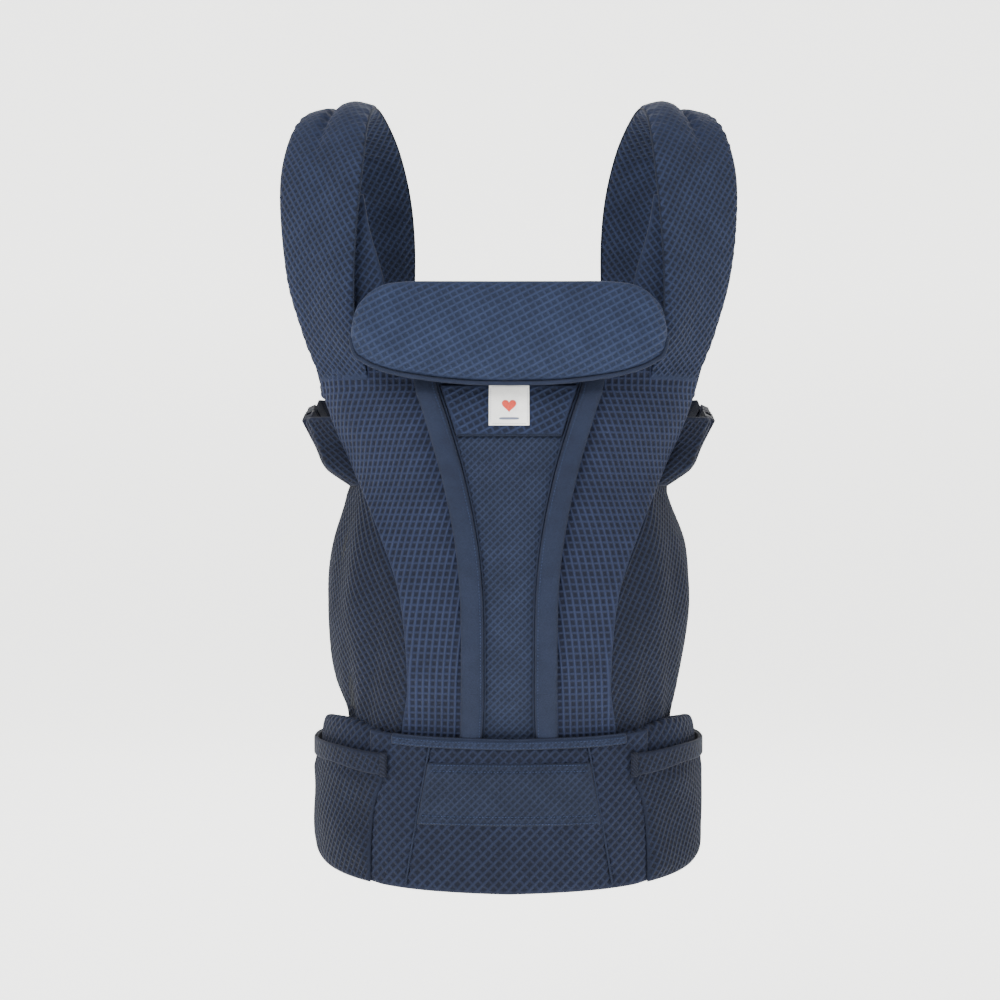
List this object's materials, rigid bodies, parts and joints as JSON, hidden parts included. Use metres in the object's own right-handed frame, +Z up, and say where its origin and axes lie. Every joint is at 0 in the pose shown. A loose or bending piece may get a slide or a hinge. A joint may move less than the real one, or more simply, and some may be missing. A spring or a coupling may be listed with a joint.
{
  "type": "soft baby carrier",
  "caption": "Soft structured baby carrier with a padded waist belt, a mesh front panel with a fold-down head pillow, and two padded shoulder straps with buckles.",
  "frame": {"origin": "centre of the wearer's waist opening, half way up the belt", "axes": "+Z up the wearer's body, -Y out of the carrier's front, +X to the viewer's right when facing the front"},
  "size_m": [0.4338, 0.31, 0.7652],
  "materials": {
    "waffle_mesh": "navy waffle-knit mesh over thin foam",
    "dark_mesh": "darker navy waffle-knit mesh",
    "plain_knit": "fine plain navy knit",
    "lining": "smooth dark navy lining",
    "label_cloth": "white woven label",
    "webbing": "dark navy ribbed webbing",
    "buckle_plastic": "dark navy moulded plastic"
  },
  "bodies": {
    "root": {"centre_panel": "waffle_mesh", "inner_liner": "lining", "wing_left": "waffle_mesh", "wing_right": "waffle_mesh", "tube_left": "plain_knit", "tube_right": "plain_knit", "seat_side_left": "dark_mesh", "seat_side_right": "dark_mesh", "leg_binding_left": "plain_knit", "leg_binding_right": "plain_knit", "sleeping_hood": "lining", "hood_pocket": "waffle_mesh", "strap_root_left": "waffle_mesh", "strap_root_right": "waffle_mesh", "belt_core": "dark_mesh", "belt_apron": "waffle_mesh", "belt_pouch_left": "dark_mesh", "belt_pouch_right": "dark_mesh", "belt_band": "waffle_mesh", "waist_patch": "waffle_mesh", "hem_band_left": "dark_mesh", "hem_band_right": "dark_mesh", "pouch_loop_left": "webbing", "pouch_loop_right": "webbing", "side_tab_left": "dark_mesh", "side_tab_right": "dark_mesh", "side_female_left": "buckle_plastic", "side_female_right": "buckle_plastic", "waist_web_left": "webbing", "waist_web_right": "webbing", "waist_female": "buckle_plastic", "waist_keeper": "webbing"},
    "headrest": {"head_pillow": "waffle_mesh", "pillow_piping": "plain_knit", "pillow_tabs": "lining"},
    "flap": {"pocket_flap": "waffle_mesh", "label": "label_cloth"},
    "strap_left": {"strap_pad_left": "waffle_mesh", "strap_web_left": "webbing", "chest_rail_left": "webbing"},
    "strap_right": {"strap_pad_right": "waffle_mesh", "strap_web_right": "webbing", "chest_rail_right": "webbing"},
    "side_buckle_left": {"side_male_left": "buckle_plastic"},
    "side_buckle_right": {"side_male_right": "buckle_plastic"},
    "side_arm_front_left": {"side_arm_front_left": "buckle_plastic"},
    "side_arm_rear_left": {"side_arm_rear_left": "buckle_plastic"},
    "side_arm_front_right": {"side_arm_front_right": "buckle_plastic"},
    "side_arm_rear_right": {"side_arm_rear_right": "buckle_plastic"},
    "waist_buckle": {"waist_male": "buckle_plastic"},
    "waist_arm_upper": {"waist_arm_upper": "buckle_plastic"},
    "waist_arm_lower": {"waist_arm_lower": "buckle_plastic"},
    "safety_button": {"safety_button": "buckle_plastic"},
    "chest_left": {"chest_slider_left": "buckle_plastic", "chest_male": "buckle_plastic"},
    "chest_right": {"chest_slider_right": "buckle_plastic", "chest_female": "buckle_plastic"},
    "seat_width_left": {"seat_width_tab_left": "buckle_plastic"},
    "seat_width_right": {"seat_width_tab_right": "buckle_plastic"}
  },
  "joints": [
    {"name": "headrest_fold", "type": "hinge", "parent": "root", "child": "headrest", "pos_m": [0, -0.1315, 0.494], "axis": [-1, 0, 0], "range_deg": [0, 130]},
    {"name": "flap_lift", "type": "hinge", "parent": "root", "child": "flap", "pos_m": [0, -0.1325, 0.4002], "axis": [-1, 0, 0], "range_deg": [0, 50]},
    {"name": "strap_left_swing", "type": "hinge", "parent": "root", "child": "strap_left", "pos_m": [0, -0.081, 0.589], "axis": [1, 0, 0], "range_deg": [0, 50]},
    {"name": "strap_right_swing", "type": "hinge", "parent": "root", "child": "strap_right", "pos_m": [0, -0.081, 0.589], "axis": [1, 0, 0], "range_deg": [0, 50]},
    {"name": "side_buckle_left_slide", "type": "slide", "parent": "strap_left", "child": "side_buckle_left", "axis": [0, 0.9511, 0.309], "range_m": [0, 0.015]},
    {"name": "side_squeeze_front_left", "type": "hinge", "parent": "side_buckle_left", "child": "side_arm_front_left", "pos_m": [-0.19724, -0.00215, 0.37972], "axis": [0.9063, -0.1306, 0.4019], "range_deg": [0, 8], "stiffness_Nm_per_rad": 0.2},
    {"name": "side_squeeze_rear_left", "type": "hinge", "parent": "side_buckle_left", "child": "side_arm_rear_left", "pos_m": [-0.18676, 0.00479, 0.35834], "axis": [-0.9063, 0.1306, -0.4019], "range_deg": [0, 8], "stiffness_Nm_per_rad": 0.2},
    {"name": "side_buckle_right_slide", "type": "slide", "parent": "strap_right", "child": "side_buckle_right", "axis": [0, 0.9511, 0.309], "range_m": [0, 0.015]},
    {"name": "side_squeeze_front_right", "type": "hinge", "parent": "side_buckle_right", "child": "side_arm_front_right", "pos_m": [0.19724, -0.00215, 0.37972], "axis": [0.9063, 0.1306, -0.4019], "range_deg": [0, 8], "stiffness_Nm_per_rad": 0.2},
    {"name": "side_squeeze_rear_right", "type": "hinge", "parent": "side_buckle_right", "child": "side_arm_rear_right", "pos_m": [0.18676, 0.00479, 0.35834], "axis": [-0.9063, -0.1306, 0.4019], "range_deg": [0, 8], "stiffness_Nm_per_rad": 0.2},
    {"name": "waist_buckle_slide", "type": "slide", "parent": "root", "child": "waist_buckle", "axis": [-1, 0, 0], "range_m": [0, 0.02]},
    {"name": "waist_squeeze_upper", "type": "hinge", "parent": "waist_buckle", "child": "waist_arm_upper", "pos_m": [-0.0098, 0.133, 0.0259], "axis": [0, 1, 0], "range_deg": [0, 8], "stiffness_Nm_per_rad": 0.2},
    {"name": "waist_squeeze_lower", "type": "hinge", "parent": "waist_buckle", "child": "waist_arm_lower", "pos_m": [-0.0098, 0.133, -0.0139], "axis": [0, -1, 0], "range_deg": [0, 8], "stiffness_Nm_per_rad": 0.2},
    {"name": "safety_press", "type": "slide", "parent": "root", "child": "safety_button", "axis": [0, -1, 0], "range_m": [0, 0.002], "stiffness_N_per_m": 400},
    {"name": "chest_slide_left", "type": "slide", "parent": "strap_left", "child": "chest_left", "axis": [0, 0, 1], "range_m": [-0.015, 0.025]},
    {"name": "chest_slide_right", "type": "slide", "parent": "strap_right", "child": "chest_right", "axis": [0, 0, 1], "range_m": [-0.015, 0.025]},
    {"name": "seat_width_left", "type": "hinge", "parent": "root", "child": "seat_width_left", "pos_m": [-0.0196, 0.0869, 0.044], "axis": [0, 0, -1], "range_deg": [-8, 8]},
    {"name": "seat_width_right", "type": "hinge", "parent": "root", "child": "seat_width_right", "pos_m": [0.0196, 0.0869, 0.044], "axis": [0, 0, 1], "range_deg": [-8, 8]}
  ],
  "couplings": [
    {"joint": "side_squeeze_rear_left", "follows": "side_squeeze_front_left", "ratio": 1},
    {"joint": "side_squeeze_rear_right", "follows": "side_squeeze_front_right", "ratio": 1},
    {"joint": "waist_squeeze_lower", "follows": "waist_squeeze_upper", "ratio": 1}
  ]
}
